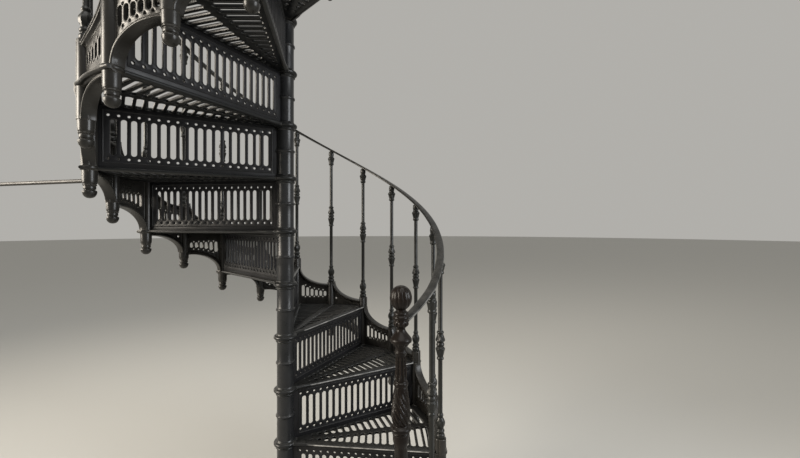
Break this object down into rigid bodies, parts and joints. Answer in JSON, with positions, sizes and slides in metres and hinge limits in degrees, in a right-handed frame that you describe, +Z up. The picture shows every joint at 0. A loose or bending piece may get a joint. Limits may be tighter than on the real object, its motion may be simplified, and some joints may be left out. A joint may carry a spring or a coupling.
{
  "type": "spiral staircase",
  "caption": "Cast-iron spiral staircase of pierced treads and risers round a ringed column, with stepped outer strings, turned balusters and a helical handrail.",
  "frame": {"origin": "on the column axis at floor level, on the underside of the column's foot", "axes": "+Z up the column; +X along the riser below the second tread; the steps rise anticlockwise seen from above"},
  "size_m": [1.6645, 1.2244, 3.432],
  "materials": {
    "column iron": "satin charcoal paint",
    "tread iron": "satin charcoal paint",
    "riser iron": "satin charcoal paint",
    "string iron": "satin charcoal paint",
    "baluster iron": "satin charcoal paint",
    "handrail iron": "satin charcoal paint",
    "newel iron": "dark bronze-brown paint, worn",
    "fixing iron": "satin charcoal paint"
  },
  "bodies": {
    "root": {"foot_flange": "column iron", "pole": "column iron", "sleeves_lower": "column iron", "sleeves_upper": "column iron", "top_sleeve": "column iron", "top_finial": "column iron", "tread_1": "tread iron", "tread_2": "tread iron", "tread_3": "tread iron", "tread_4": "tread iron", "tread_5": "tread iron", "tread_6": "tread iron", "tread_7": "tread iron", "tread_8": "tread iron", "tread_9": "tread iron", "tread_10": "tread iron", "tread_11": "tread iron", "tread_12": "tread iron", "landing": "tread iron", "risers_lower": "riser iron", "risers_upper": "riser iron", "landing_riser": "riser iron", "string_1": "string iron", "string_2": "string iron", "string_3": "string iron", "string_4": "string iron", "string_5": "string iron", "string_6": "string iron", "string_7": "string iron", "string_8": "string iron", "string_9": "string iron", "string_10": "string iron", "string_11": "string iron", "string_12": "string iron", "landing_string": "string iron", "newel": "newel iron", "balusters_lower": "baluster iron", "balusters_middle": "baluster iron", "balusters_upper": "baluster iron", "balusters_landing": "baluster iron", "handrail_lower": "handrail iron", "handrail_upper": "handrail iron", "landing_rail": "handrail iron", "landing_bracket": "fixing iron", "wall_stay": "fixing iron"}
  },
  "joints": []
}
